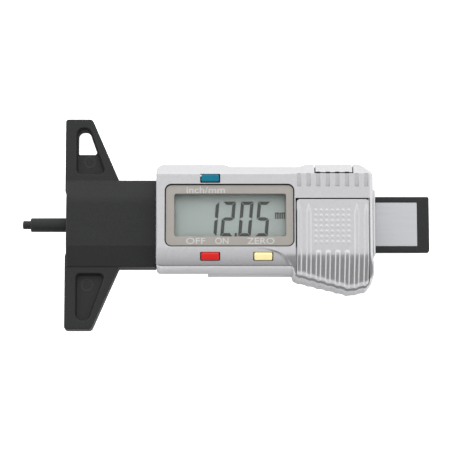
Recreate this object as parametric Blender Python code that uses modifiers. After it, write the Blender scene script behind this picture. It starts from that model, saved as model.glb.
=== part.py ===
"""Digital tyre tread depth gauge, lying on its back.

Axes: +X runs along the beam from the rod tip to the free end, +Y across the gauge towards
the inch/mm button, +Z out of the display. The origin is the bottom centre of the whole
gauge. The gauge reads 12.05 mm as modelled.
"""

import math

import bmesh
import bpy
from mathutils import Matrix, Vector

MM = 0.001
GAP = 0.3 * MM
ARC_STEPS = 5

# Whole gauge
TOTAL_LENGTH = 115.0 * MM
READING = 12.05 * MM
TIP_X = -TOTAL_LENGTH / 2
BEAM_END_X = TOTAL_LENGTH / 2
MEASURING_FACE_X = TIP_X + READING
BEAM_AXIS_Z = 4.2 * MM

# Depth base
BASE_SPAN = 60.0 * MM
BASE_TOP_WIDTH = 7.6 * MM
BASE_ROOT_X = -30.2 * MM
WING_LOW_Z = 1.2 * MM
WING_HIGH_Z = 7.2 * MM
WING_FLOOR_Z = 5.6 * MM
NECK_HALF_WIDTH = 12.45 * MM
NECK_FLAT_HALF = 6.6 * MM
NECK_EDGE_Z = 7.4 * MM
NECK_TOP_Z = 9.4 * MM
NECK_LOW_Z = 0.6 * MM
NECK_SETBACK = 0.4 * MM
TONGUE_END_X = -5.4 * MM
POCKET_INNER_Y = 14.4
POCKET_RIGHT_X = -34.2
POCKET_TAPER = 0.358
HANG_HOLE_INNER_Y = 19.8

# Casing
CASE_LEFT_X = -19.5 * MM
CASE_RIGHT_X = 41.2 * MM
CASE_TOP_Y = 16.15 * MM
CASE_DIP_Y = 15.4 * MM
CASE_THICKNESS = 15.0 * MM
CREASE_TOP_Y = 12.95 * MM
CREASE_LOW_Y = -7.9 * MM
BEVEL_TOP_Z = 11.8 * MM
BEVEL_LOW_Y = -13.15 * MM
BEVEL_LOW_Z = 12.6 * MM
FOOT_LOW_Y = -14.4 * MM
SPLIT_Z = 4.05 * MM
BACK_LEFT_X = -5.1 * MM
WALL = 1.4 * MM
SCOOP_START_Y = -9.3 * MM
SCOOP_SLOPE = math.radians(31)
WALL_LEAN = 1.3 * MM

# Beam
BEAM_WIDTH = 15.8 * MM
BEAM_THICKNESS = 3.2 * MM
BEAM_START_X = -24.2 * MM
LABEL_HALF_WIDTH = 6.2 * MM
LABEL_END_X = 54.05 * MM
LABEL_START_X = -20.0 * MM
ROD_RADIUS = 2.0 * MM
TIP_RADIUS = 1.2 * MM
TIP_LENGTH = 2.25 * MM
SPIGOT_RADIUS = 0.9 * MM
SPIGOT_Z = BEAM_AXIS_Z - 0.3 * MM

# Display
FRAME_MIN = (-16.8 * MM, -7.3 * MM)
FRAME_MAX = (18.85 * MM, 9.8 * MM)
WINDOW_MIN = (-14.4 * MM, -4.7 * MM)
WINDOW_MAX = (16.8 * MM, 7.3 * MM)

# Battery cover, grip ribs and port
COVER_LEFT_X = 19.75 * MM
COVER_RIGHT_X = 39.95 * MM
COVER_TOP_Y = 5.8 * MM
COVER_THICKNESS = 1.3 * MM
COVER_FAR_Y = -23.0 * MM
RIB_FIRST_X = 20.45 * MM
RIB_PITCH = 2.68 * MM
RIB_COUNT = 8
RIB_WIDTH = 1.25 * MM
RIB_HEIGHT = 0.3 * MM
SLOT_LENGTH = 3.5 * MM
SLOT_WIDTH = 1.1 * MM
SLOT_DEPTH = 1.0 * MM
PORT_LEFT_X = 24.8 * MM
PORT_RIGHT_X = 35.7 * MM
PORT_INNER_Y = 13.4 * MM
PORT_LOW_Z = 7.0 * MM
CELL_CENTRE = (29.9 * MM, -1.4 * MM)
CELL_RADIUS = 5.8 * MM

# Buttons
BUTTON_LENGTH = 5.0 * MM
BUTTON_HEIGHT = 2.1 * MM
BUTTON_TILT = math.radians(24)
FLANGE_REACH = 0.7 * MM
DOME_TOP_Z = 8.1 * MM
INCH_BUTTON_AT = (-4.38 * MM, 11.65 * MM, 15.0 * MM)
POWER_BUTTON_AT = (-4.38 * MM, -10.3 * MM, 14.3 * MM)
ZERO_BUTTON_AT = (10.43 * MM, -10.3 * MM, 14.3 * MM)

# Board and fasteners
BOARD_LOW_Z = 6.4 * MM
BOARD_HIGH_Z = 7.3 * MM
CASE_SCREWS = ((1.0 * MM, -12.1 * MM), (1.0 * MM, 13.3 * MM), (38.3 * MM, -12.6 * MM), (38.4 * MM, 13.2 * MM))
BOSS_RADIUS = 1.75 * MM
PILOT_RADIUS = 1.15 * MM
SCREW_END_Z = 8.0 * MM
POST_RADIUS = 2.3 * MM
LOW_BOSS_Z = 9.4 * MM
BASE_SCREWS = ((-16.9 * MM, -10.9 * MM), (-16.9 * MM, 10.9 * MM))


# ---------------------------------------------------------------- scene helpers

def clear_scene():
    for item in list(bpy.data.objects):
        bpy.data.objects.remove(item, do_unlink=True)


def make_collection(name):
    group = bpy.data.collections.new(name)
    bpy.context.scene.collection.children.link(group)
    return group


clear_scene()
GAUGE = make_collection("tread_depth_gauge")
CUTTERS = make_collection("cutters")


def material(name, colour, roughness, metallic=0.0, alpha=1.0):
    finish = bpy.data.materials.new(name)
    finish.use_nodes = True
    shader = finish.node_tree.nodes["Principled BSDF"]
    shader.inputs["Base Color"].default_value = (*colour, 1.0)
    shader.inputs["Roughness"].default_value = roughness
    shader.inputs["Metallic"].default_value = metallic
    shader.inputs["Alpha"].default_value = alpha
    return finish


BLACK_PLASTIC = material("black_plastic", (0.035, 0.035, 0.037), 0.5)
SILVER_PAINT = material("silver_paint", (0.60, 0.60, 0.62), 0.35, 0.4)
DARK_PLASTIC = material("dark_plastic", (0.06, 0.06, 0.065), 0.6)
TAN_PANEL = material("tan_panel", (0.42, 0.38, 0.33), 0.5)
CLEAR_PANEL = material("clear_panel", (0.85, 0.9, 0.88), 0.05, alpha=0.3)
LCD_GREY = material("lcd_grey", (0.36, 0.42, 0.38), 0.25)
LABEL_SILVER = material("label_silver", (0.55, 0.56, 0.58), 0.4, 0.3)
BOARD_GREEN = material("board_green", (0.02, 0.16, 0.06), 0.5)
COPPER = material("copper", (0.75, 0.42, 0.22), 0.3, 1.0)
STEEL = material("steel", (0.6, 0.6, 0.6), 0.25, 1.0)
BRASS = material("brass", (0.78, 0.6, 0.28), 0.3, 1.0)
RUBBER = material("rubber", (0.12, 0.12, 0.12), 0.8)
BLUE_BUTTON = material("blue_button", (0.01, 0.2, 0.32), 0.35)
RED_BUTTON = material("red_button", (0.72, 0.02, 0.02), 0.35)
YELLOW_BUTTON = material("yellow_button", (0.95, 0.82, 0.4), 0.35)


def keep(item, finish):
    """Put a finished piece in the gauge's collection."""
    for group in list(item.users_collection):
        group.objects.unlink(item)
    GAUGE.objects.link(item)
    item.data.materials.clear()
    item.data.materials.append(finish)
    return item


def hide(item):
    """Put a cutter or a form in the cutters' collection."""
    for group in list(item.users_collection):
        group.objects.unlink(item)
    CUTTERS.objects.link(item)
    item.hide_render = True
    item.display_type = "WIRE"
    return item


def combine(item, tool, operation):
    step = item.modifiers.new(operation.lower() + "_" + tool.name, "BOOLEAN")
    step.operation = operation
    step.object = tool
    step.solver = "EXACT"
    return item


def cut(item, *tools):
    for tool in tools:
        combine(item, hide(tool), "DIFFERENCE")
    return item


def join(item, *tools):
    for tool in tools:
        combine(item, hide(tool), "UNION")
    return item


def trim(item, *tools):
    for tool in tools:
        combine(item, hide(tool), "INTERSECT")
    return item


def object_from(name, mesh_edit):
    mesh = bpy.data.meshes.new(name)
    mesh_edit.to_mesh(mesh)
    mesh_edit.free()
    item = bpy.data.objects.new(name, mesh)
    bpy.context.scene.collection.objects.link(item)
    return item


# ---------------------------------------------------------------- shape helpers

def box(name, low, high, rounding=0.0):
    """A box between two corners, with its edges rounded by a Bevel when asked."""
    size = Vector(high) - Vector(low)
    centre = (Vector(high) + Vector(low)) / 2
    edit = bmesh.new()
    bmesh.ops.create_cube(edit, size=1.0, matrix=Matrix.Diagonal((*size, 1.0)))
    item = object_from(name, edit)
    item.location = centre
    if rounding:
        bevel = item.modifiers.new("rounding", "BEVEL")
        bevel.width = rounding
        bevel.segments = 2
    return item


def cylinder(name, radius, start, end, sides=24):
    """A round bar between two points."""
    run = Vector(end) - Vector(start)
    edit = bmesh.new()
    bmesh.ops.create_cone(edit, cap_ends=True, segments=sides, radius1=radius, radius2=radius,
                          depth=run.length)
    item = object_from(name, edit)
    item.location = (Vector(start) + Vector(end)) / 2
    item.rotation_euler = run.to_track_quat("Z", "Y").to_euler()
    return item


def fillet(before, corner, after, radius):
    """Points of the arc that rounds one corner of an outline."""
    back = (Vector(before) - Vector(corner)).normalized()
    ahead = (Vector(after) - Vector(corner)).normalized()
    half = back.angle(ahead) / 2
    run = radius / math.tan(half)
    centre = Vector(corner) + (back + ahead).normalized() * (radius / math.sin(half))
    first = Vector(corner) + back * run - centre
    last = Vector(corner) + ahead * run - centre
    sweep = first.angle_signed(last)
    points = []
    for step in range(ARC_STEPS + 1):
        turn = Matrix.Rotation(-sweep * step / ARC_STEPS, 2)
        points.append(tuple(centre + turn @ first))
    return points


def rounded(corners):
    """An outline from (x, y) and (x, y, radius) corners, in millimetres."""
    count = len(corners)
    outline = []
    for index, corner in enumerate(corners):
        here = (corner[0] * MM, corner[1] * MM)
        if len(corner) == 2:
            outline.append(here)
            continue
        before = corners[index - 1]
        after = corners[(index + 1) % count]
        ends = [(end[0] * MM, end[1] * MM) for end in (before, after)]
        outline += fillet(ends[0], here, ends[1], corner[2] * MM)
    return outline


PLANE_TURNS = {
    "XY": Matrix.Identity(4),
    "YZ": Matrix(((0, 0, 1, 0), (1, 0, 0, 0), (0, 1, 0, 0), (0, 0, 0, 1))),
}


def prism(name, outline, low, high, plane="XY"):
    """An outline in the XY or YZ plane, extruded from low to high along the third axis."""
    curve = bpy.data.curves.new(name, "CURVE")
    curve.dimensions = "2D"
    curve.fill_mode = "BOTH"
    curve.extrude = (high - low) / 2
    spline = curve.splines.new("POLY")
    spline.points.add(len(outline) - 1)
    for point, (across, up) in zip(spline.points, outline):
        point.co = (across, up, 0.0, 1.0)
    spline.use_cyclic_u = True
    guide = bpy.data.objects.new(name + "_outline", curve)
    bpy.context.scene.collection.objects.link(guide)
    guide.matrix_world = PLANE_TURNS[plane] @ Matrix.Translation((0, 0, (high + low) / 2))
    bpy.context.view_layer.update()
    evaluated = guide.evaluated_get(bpy.context.evaluated_depsgraph_get())
    mesh = bpy.data.meshes.new_from_object(evaluated)
    edit = bmesh.new()
    edit.from_mesh(mesh)
    bmesh.ops.remove_doubles(edit, verts=edit.verts, dist=1e-6)
    bmesh.ops.recalc_face_normals(edit, faces=edit.faces)
    item = object_from(name, edit)
    item.matrix_world = guide.matrix_world.copy()
    bpy.data.objects.remove(guide, do_unlink=True)
    bpy.data.meshes.remove(mesh)
    return item


def turned(name, profile, sides):
    """A piece turned about Z; the profile holds (height, radius) pairs from the top down."""
    edit = bmesh.new()
    ring = [edit.verts.new((radius, 0.0, height)) for height, radius in profile]
    for first, second in zip(ring, ring[1:]):
        edit.edges.new((first, second))
    item = object_from(name, edit)
    spin = item.modifiers.new("turning", "SCREW")
    spin.axis = "Z"
    spin.steps = sides
    spin.render_steps = sides
    spin.use_merge_vertices = True
    spin.merge_threshold = 1e-6
    return item


# ---------------------------------------------------------------- depth base

def wing_pocket(name, side, low_z, inner_y):
    """The tapered hollow in a wing, from inner_y out towards the wing tip."""
    right_x = POCKET_RIGHT_X - (inner_y - POCKET_INNER_Y) * POCKET_TAPER
    corners = [(-42.1, inner_y, 1.0), (-42.1, 27.2, 1.75), (-38.75, 27.2, 1.5), (right_x, inner_y, 1.0)]
    outline = [(across, up * side) for across, up in rounded(corners)]
    return prism(name, outline, low_z, 12 * MM)


def make_depth_base():
    """Winged black base: measuring faces, neck over the beam, and the tongue under the casing."""
    left = MEASURING_FACE_X / MM
    shoulder = left + BASE_TOP_WIDTH / MM
    root = BASE_ROOT_X / MM
    tip = BASE_SPAN / MM / 2
    waist = NECK_HALF_WIDTH / MM
    wings = rounded([
        (left, -tip, 0.8), (shoulder, -tip, 1.2), (root, -waist), (root, waist),
        (shoulder, tip, 1.2), (left, tip, 0.8)])
    base = prism("depth_base", wings, WING_LOW_Z, WING_HIGH_Z)

    flat = NECK_FLAT_HALF / MM
    edge = NECK_EDGE_Z / MM
    top = NECK_TOP_Z / MM
    low = NECK_LOW_Z / MM
    section = rounded([
        (-waist, low, 0.5), (waist, low, 0.5), (waist, edge, 1.5), (flat, top, 6.0),
        (-flat, top, 2.0), (-waist, edge, 0.6)])
    neck = prism("neck_form", section, MEASURING_FACE_X + NECK_SETBACK, CASE_LEFT_X - GAP, "YZ")
    tongue = box("tongue_form", (CASE_LEFT_X - 2 * MM, -waist * MM + GAP, NECK_LOW_Z),
                 (TONGUE_END_X, waist * MM - GAP, SPLIT_Z - GAP / 2))
    join(base, neck, tongue)

    cut(base, wing_pocket("upper_pocket", 1, WING_FLOOR_Z, POCKET_INNER_Y))
    cut(base, wing_pocket("lower_pocket", -1, WING_FLOOR_Z, POCKET_INNER_Y))
    cut(base, wing_pocket("hang_hole", 1, -1 * MM, HANG_HOLE_INNER_Y))

    half = BEAM_WIDTH / 2 + 0.25 * MM
    channel = box("base_channel", (-38.6 * MM, -half, BEAM_AXIS_Z - 1.85 * MM),
                  (0.0, half, BEAM_AXIS_Z + 1.85 * MM))
    bore = cylinder("base_bore", ROD_RADIUS + 0.25 * MM, (-50 * MM, 0, BEAM_AXIS_Z), (0, 0, BEAM_AXIS_Z))
    cut(base, channel, bore)
    for index, (x, y) in enumerate(BASE_SCREWS):
        cut(base, *screw_hole(f"base_hole_{index}", x, y, NECK_LOW_Z))
    return keep(base, BLACK_PLASTIC)


# ---------------------------------------------------------------- fasteners

def screw_hole(name, x, y, face_z):
    """Clearance hole and counterbore for a screw driven up from the back."""
    shank = cylinder(name + "_shank", PILOT_RADIUS, (x, y, face_z - 1 * MM), (x, y, 9 * MM), 16)
    head = cylinder(name + "_head", 1.95 * MM, (x, y, face_z - 1 * MM), (x, y, face_z + 1.5 * MM), 16)
    return shank, head


def make_screw(name, x, y, face_z):
    """Pan-head screw with a cross recess, its head towards the back."""
    head = face_z + 0.3 * MM
    profile = [
        (SCREW_END_Z, 0.0), (SCREW_END_Z - 0.6 * MM, 0.85 * MM), (head + 0.9 * MM, 0.85 * MM),
        (head + 0.9 * MM, 1.6 * MM), (head + 0.25 * MM, 1.6 * MM), (head, 1.35 * MM), (head, 0.0)]
    screw = turned(name, profile, 16)
    screw.location = (x, y, 0.0)
    reach = 0.9 * MM
    blade = 0.22 * MM
    floor = head + 0.45 * MM
    cut(screw, box(name + "_slot_a", (x - reach, y - blade, -MM), (x + reach, y + blade, floor)))
    cut(screw, box(name + "_slot_b", (x - blade, y - reach, -MM), (x + blade, y + reach, floor)))
    return keep(screw, STEEL)


# ---------------------------------------------------------------- casing

def scoop_z(y):
    """Height of the thumb rest's slope at y."""
    return CASE_THICKNESS - (SCOOP_START_Y - y) * math.tan(SCOOP_SLOPE)


def make_casing_form():
    """Outer shape of the closed casing, shared by the covers that are cut from it."""
    left = CASE_LEFT_X / MM
    right = CASE_RIGHT_X / MM
    top = CASE_TOP_Y / MM
    dip = CASE_DIP_Y / MM
    high = CASE_THICKNESS / MM
    low_crease = CREASE_LOW_Y / MM
    foot_y = -21.5
    profile = rounded([
        (foot_y, 0.0), (top, 0.0), (top, BEVEL_TOP_Z / MM), (CREASE_TOP_Y / MM, high),
        (SCOOP_START_Y / MM, high, 4.0), (foot_y, scoop_z(foot_y * MM) / MM)])
    form = prism("casing_form", profile, CASE_LEFT_X, 43.0 * MM, "YZ")
    outline = rounded([
        (left, -16.4), (20.6, -16.4), (34.8, -19.85, 3.0), (39.7, -18.8, 2.6), (41.7, -15.9, 2.4),
        (right, -11.5, 3.0), (right, 13.6, 3.0), (37.9, top, 3.0), (22.2, top, 1.5), (20.6, dip, 1.5),
        (1.4, dip, 1.5), (-0.6, top, 1.5), (left, top, 2.2)])
    plan = prism("casing_plan", outline, 0.0, CASE_THICKNESS + MM)
    plan.data.transform(plan.matrix_world)
    plan.matrix_world = Matrix.Identity(4)
    for vertex in plan.data.vertices:
        if vertex.co.z > MM and vertex.co.y < -12.0 * MM:
            vertex.co.y += WALL_LEAN
    plan.modifiers.new("flat_faces", "TRIANGULATE")
    trim(form, plan)

    lower_side = rounded([
        (-25.0, -1.0), (FOOT_LOW_Y / MM, -1.0), (FOOT_LOW_Y / MM, 0.0), (BEVEL_LOW_Y / MM, BEVEL_LOW_Z / MM),
        (-10.9, 14.15, 6.0), (low_crease, high), (low_crease, high + 3), (-25.0, high + 3)])
    bevel = prism("lower_bevel", lower_side, -23 * MM, 22 * MM, "YZ")
    reach = rounded([
        (-22.0, -24.0), (20.9, -24.0), (20.9, -16.9), (18.5, -15.6, 1.4), (18.5, -14.0, 0.6),
        (13.6, -8.2, 6.0), (8.0, -7.4), (-22.0, -7.4)])
    trim(bevel, prism("lower_bevel_reach", reach, -2 * MM, 20 * MM))
    return cut(form, bevel)


def panel(name, low, high, margin, corner, low_z, high_z):
    """A flat plate or opening with round corners, widened all round by a margin."""
    left = (low[0] - margin) / MM
    right = (high[0] + margin) / MM
    front = (low[1] - margin) / MM
    rear = (high[1] + margin) / MM
    outline = rounded([
        (left, front, corner), (right, front, corner), (right, rear, corner), (left, rear, corner)])
    return prism(name, outline, low_z, high_z)


def slab(name, low_z, high_z):
    return box(name, (-25 * MM, -25 * MM, low_z), (45 * MM, 25 * MM, high_z))


def make_cavity(name):
    """Inside of the casing, above and below the split."""
    main = rounded([(-12.7, 1.5), (14.6, 1.5), (14.6, 11.4), (12.3, 13.5), (-7.4, 13.5), (-11.6, 11.9)])
    cavity = prism(name, main, CASE_LEFT_X + WALL, CASE_RIGHT_X - WALL, "YZ")
    slope = math.tan(SCOOP_SLOPE)
    scoop = rounded([(-18.2, 1.5), (-6.0, 1.5), (-6.0, 13.5), (-8.7, 13.5), (-18.2, 13.5 - 9.5 * slope)])
    thumb = prism(name + "_thumb", scoop, 20.4 * MM, CASE_RIGHT_X - WALL, "YZ")
    plan = rounded([(20.4, -6.0), (20.4, -14.2), (34.8, -17.6), (37.6, -17.4), (39.6, -15.0), (39.6, -6.0)])
    trim(thumb, prism(name + "_thumb_plan", plan, 0.0, 16 * MM))
    return join(cavity, thumb)


def cover_profile(gap, top_points):
    """Side outline of the battery cover: its underside, then the points along its top."""
    under = CASE_THICKNESS - COVER_THICKNESS - gap
    break_y = SCOOP_START_Y + 0.45 * MM
    fall = (break_y - COVER_FAR_Y) * math.tan(SCOOP_SLOPE)
    return top_points + [(COVER_FAR_Y, under - fall), (break_y, under), (COVER_TOP_Y + gap, under)]


def rib_x(index):
    """Centre line of a rib and of the slot in line with it."""
    return RIB_FIRST_X + RIB_PITCH * index


def make_top_slots():
    """Eight ramped grip slots that run down from the upper crease."""
    tools = []
    start = CREASE_TOP_Y - 0.15 * MM
    end = start - SLOT_LENGTH
    for index in range(RIB_COUNT):
        profile = [(start, CASE_THICKNESS - 0.15 * MM), (start, 16 * MM), (end, 16 * MM),
                   (end, CASE_THICKNESS - SLOT_DEPTH)]
        half = SLOT_WIDTH / 2
        tools.append(prism(f"top_slot_{index}", profile, rib_x(index) - half, rib_x(index) + half, "YZ"))
    return tools


def make_front_cover(form):
    """Silver front shell with its openings, slots and screw bosses."""
    cover = slab("front_cover", SPLIT_Z + GAP / 2, 16 * MM)
    trim(cover, form)
    cavity = make_cavity("front_cavity")
    for index, (x, y) in enumerate(CASE_SCREWS + BASE_SCREWS):
        high_z = LOW_BOSS_Z if (x > COVER_LEFT_X and y < COVER_TOP_Y) else CASE_THICKNESS
        cut(cavity, cylinder(f"boss_{index}", BOSS_RADIUS, (x, y, 0.0), (x, y, high_z), 16))
        join(cavity, cylinder(f"pilot_{index}", PILOT_RADIUS, (x, y, MM), (x, y, SCREW_END_Z + 0.4 * MM), 12))
    cut(cover, cavity)
    opening = cover_profile(GAP, [(COVER_TOP_Y + GAP, 17 * MM), (COVER_FAR_Y, 17 * MM)])
    cut(cover, prism("battery_opening", opening, COVER_LEFT_X - GAP, COVER_RIGHT_X + GAP, "YZ"))
    cut(cover, panel("display_opening", FRAME_MIN, FRAME_MAX, GAP, 1.9, 12 * MM, 17 * MM))
    for slot in make_top_slots():
        cut(cover, slot)
    cut(cover, box("port_opening", (PORT_LEFT_X, PORT_INNER_Y - GAP, PORT_LOW_Z - GAP),
                   (PORT_RIGHT_X, 18 * MM, 16 * MM)))
    for name, place, tilt in BUTTONS:
        cut(cover, button_slot(name + "_slot", place, tilt))
    half = BEAM_WIDTH / 2 + GAP
    cut(cover, box("beam_way_front", (-21 * MM, -half, 0.0), (-17 * MM, half, BEAM_AXIS_Z + 2.1 * MM)))
    cut(cover, box("nose_way_front", (39 * MM, -9.3 * MM, 0.0), (43 * MM, 9.9 * MM, 8.7 * MM)))
    return keep(cover, SILVER_PAINT)


def make_back_cover(form):
    """Silver back shell: the resting face, with four counterbored posts."""
    high_z = SPLIT_Z - GAP / 2
    cover = box("back_cover", (BACK_LEFT_X, -25 * MM, 0.0), (45 * MM, 25 * MM, high_z))
    cut(cover, make_cavity("back_cavity"))
    for index, (x, y) in enumerate(CASE_SCREWS):
        join(cover, cylinder(f"post_{index}", POST_RADIUS, (x, y, 0.5 * MM), (x, y, high_z), 16))
    trim(cover, form)
    for index, (x, y) in enumerate(CASE_SCREWS):
        cut(cover, *screw_hole(f"case_hole_{index}", x, y, 0.0))
    half = BEAM_WIDTH / 2 + GAP
    cut(cover, box("beam_way_back", (-8 * MM, -half, BEAM_AXIS_Z - 2.1 * MM), (-3 * MM, half, 6 * MM)))
    cut(cover, box("nose_way_back", (39 * MM, -9.3 * MM, -1 * MM), (43 * MM, 9.9 * MM, 8.7 * MM)))
    return keep(cover, SILVER_PAINT)


# ---------------------------------------------------------------- covers and buttons

BUTTONS = (
    ("inch_mm", INCH_BUTTON_AT, 0.0),
    ("power", POWER_BUTTON_AT, BUTTON_TILT),
    ("zero", ZERO_BUTTON_AT, BUTTON_TILT),
)


def tilted(item, place, tilt):
    """Stand a piece made about the origin on a place, tipped towards -Y."""
    local = item.matrix_world.copy()
    local.translation = item.location
    item.matrix_world = Matrix.Translation(place) @ Matrix.Rotation(tilt, 4, "X") @ local
    return item


def button_slot(name, place, tilt):
    reach = (BUTTON_LENGTH / 2 + GAP, BUTTON_HEIGHT / 2 + GAP)
    slot = box(name, (-reach[0], -reach[1], -4 * MM), (reach[0], reach[1], 2 * MM))
    return tilted(slot, place, tilt)


def make_button(name, place, tilt, finish, stem_length, stem_offset):
    """Push button: visible cap, retaining flange under the shell, and a stem over its dome."""
    reach = (BUTTON_LENGTH / 2, BUTTON_HEIGHT / 2)
    cap = box(name + "_button", (-reach[0], -reach[1], -2.6 * MM), (reach[0], reach[1], 0.45 * MM), 0.2 * MM)
    flange = box(name + "_flange", (-reach[0] - FLANGE_REACH, -reach[1] + 0.1 * MM, -2.75 * MM),
                 (reach[0] + FLANGE_REACH, reach[1] - 0.1 * MM, -2.15 * MM))
    stem = box(name + "_stem", (-1.2 * MM, stem_offset - 0.7 * MM, -stem_length),
               (1.2 * MM, stem_offset + 0.7 * MM, -2.3 * MM))
    for piece in (cap, flange, stem):
        tilted(piece, place, tilt)
    return keep(join(cap, flange, stem), finish)


def make_dome(name, x, y):
    """Snap dome on the board under a button's stem."""
    edit = bmesh.new()
    bmesh.ops.create_cone(edit, cap_ends=True, segments=16, radius1=1.1 * MM, radius2=0.7 * MM,
                          depth=0.5 * MM)
    dome = object_from(name, edit)
    dome.location = (x, y, DOME_TOP_Z - 0.25 * MM)
    return keep(dome, STEEL)


def make_cover_rib(index):
    """Raised rib that runs down the thumb rest; the outer two each side start higher up."""
    outer = index < 2 or index >= RIB_COUNT - 2
    start = COVER_TOP_Y - 1.0 * MM if outer else SCOOP_START_Y + 1.1 * MM
    crest = CASE_THICKNESS + RIB_HEIGHT
    root = CASE_THICKNESS - 0.6 * MM
    end = COVER_FAR_Y + MM
    fall = CASE_THICKNESS - scoop_z(end)
    profile = [
        (start, root), (start, CASE_THICKNESS - 0.1 * MM), (start - 0.3 * MM, crest), (SCOOP_START_Y, crest),
        (end, crest - fall), (end, root - fall), (SCOOP_START_Y, root)]
    half = RIB_WIDTH / 2
    return prism(f"cover_rib_{index}", profile, rib_x(index) - half, rib_x(index) + half, "YZ")


def make_battery_cover():
    """Ribbed cover that follows the face and the thumb rest."""
    top = rounded([
        (COVER_TOP_Y / MM, CASE_THICKNESS / MM), (SCOOP_START_Y / MM, CASE_THICKNESS / MM, 4.0),
        (COVER_FAR_Y / MM, scoop_z(COVER_FAR_Y) / MM), (COVER_TOP_Y / MM, 0.0)])
    profile = cover_profile(0.0, top[:-1])
    cover = prism("battery_cover", profile, COVER_LEFT_X, COVER_RIGHT_X, "YZ")
    for index in range(RIB_COUNT):
        join(cover, make_cover_rib(index))
    trim(cover, bpy.data.objects["casing_plan"])
    return keep(cover, SILVER_PAINT)


def make_port_cover(form):
    """Cover of the data port, cut from the upper bevel and wall."""
    cover = slab("port_cover", PORT_LOW_Z, 16 * MM)
    trim(cover, form)
    trim(cover, box("port_cover_band", (PORT_LEFT_X + GAP, PORT_INNER_Y, 0.0),
                    (PORT_RIGHT_X - GAP, 18 * MM, 17 * MM)))
    return keep(cover, SILVER_PAINT)


# ---------------------------------------------------------------- beam and rod

def make_beam():
    """Black beam with a long recess for its scale."""
    half = BEAM_WIDTH / 2
    low = BEAM_AXIS_Z - BEAM_THICKNESS / 2
    high = BEAM_AXIS_Z + BEAM_THICKNESS / 2
    beam = box("beam", (BEAM_START_X, -half, low), (BEAM_END_X, half, high), 0.25 * MM)
    recess = box("scale_recess", (LABEL_START_X - GAP, -LABEL_HALF_WIDTH - 0.2 * MM, high - 1.1 * MM),
                 (LABEL_END_X + 0.2 * MM, LABEL_HALF_WIDTH + 0.2 * MM, high + MM))
    cut(beam, recess)
    bore = cylinder("spigot_bore", SPIGOT_RADIUS + 0.2 * MM, (BEAM_START_X - MM, 0, SPIGOT_Z),
                    (BEAM_START_X + 3.6 * MM, 0, SPIGOT_Z), 16)
    cut(beam, bore)
    return keep(beam, BLACK_PLASTIC)


def make_scale():
    high = BEAM_AXIS_Z + BEAM_THICKNESS / 2
    track = box("scale_track", (LABEL_START_X, -LABEL_HALF_WIDTH + GAP, high - 0.85 * MM),
                (LABEL_END_X - 0.5 * MM, LABEL_HALF_WIDTH - GAP, high - 0.5 * MM))
    label = box("scale_label", (LABEL_START_X, -LABEL_HALF_WIDTH, high - 0.3 * MM),
                (LABEL_END_X, LABEL_HALF_WIDTH, high - 0.1 * MM))
    keep(track, COPPER)
    keep(label, LABEL_SILVER)


def make_depth_rod():
    """Stepped rod: thin tip, body and the spigot that sits in the beam's end."""
    shoulder = TIP_X + TIP_LENGTH
    rod_end = BEAM_START_X - 0.3 * MM
    chamfer = 0.2 * MM
    profile = [
        (-TIP_X, 0.0), (-TIP_X, TIP_RADIUS - chamfer), (-TIP_X - chamfer, TIP_RADIUS),
        (-shoulder, TIP_RADIUS),
        (-shoulder, ROD_RADIUS - chamfer), (-shoulder - chamfer, ROD_RADIUS), (-rod_end, ROD_RADIUS),
        (-rod_end, 0.0)]
    rod = turned("depth_rod", profile, 24)
    rod.matrix_world = Matrix.Translation((0, 0, BEAM_AXIS_Z)) @ Matrix.Rotation(-math.pi / 2, 4, "Y")
    spigot = cylinder("rod_spigot", SPIGOT_RADIUS, (rod_end - 2 * MM, 0, SPIGOT_Z),
                      (rod_end + 3.5 * MM, 0, SPIGOT_Z), 16)
    return keep(join(rod, spigot), BLACK_PLASTIC)


# ---------------------------------------------------------------- inside the casing

def make_guide_frame():
    """Channel that the beam runs in, with the nose that shows at the casing's right end."""
    frame = box("guide_frame", (BACK_LEFT_X + GAP, -9.55 * MM, 1.8 * MM), (39.5 * MM, 10.4 * MM, 6.0 * MM))
    nose = box("nose_form", (39.3 * MM, -9.0 * MM, 0.3 * MM), (42.2 * MM, 9.6 * MM, 8.4 * MM), 0.5 * MM)
    join(frame, nose)
    cut(frame, box("guide_channel", (-8 * MM, -8.15 * MM, 2.35 * MM), (39.0 * MM, 9.0 * MM, 9 * MM)))
    cut(frame, box("nose_hole", (38 * MM, -8.15 * MM, 2.35 * MM), (44 * MM, 8.15 * MM, 6.05 * MM)))
    return keep(frame, SILVER_PAINT)


def make_guide_spring():
    """Bowed leaf between the beam's edge and the guide's upper rail."""
    middle = 18.0 * MM
    half = 15.0 * MM
    bow = 0.3 * MM
    outer = 8.85 * MM
    leaf = 0.25 * MM
    steps = 12
    inner_line = []
    outer_line = []
    for step in range(steps + 1):
        share = 2 * step / steps - 1
        x = middle + half * share
        y = outer - leaf - bow * (1 - share * share)
        inner_line.append((x, y))
        outer_line.append((x, y + leaf))
    spring = prism("guide_spring", inner_line + outer_line[::-1], 2.9 * MM, 5.5 * MM)
    return keep(spring, BRASS)


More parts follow.
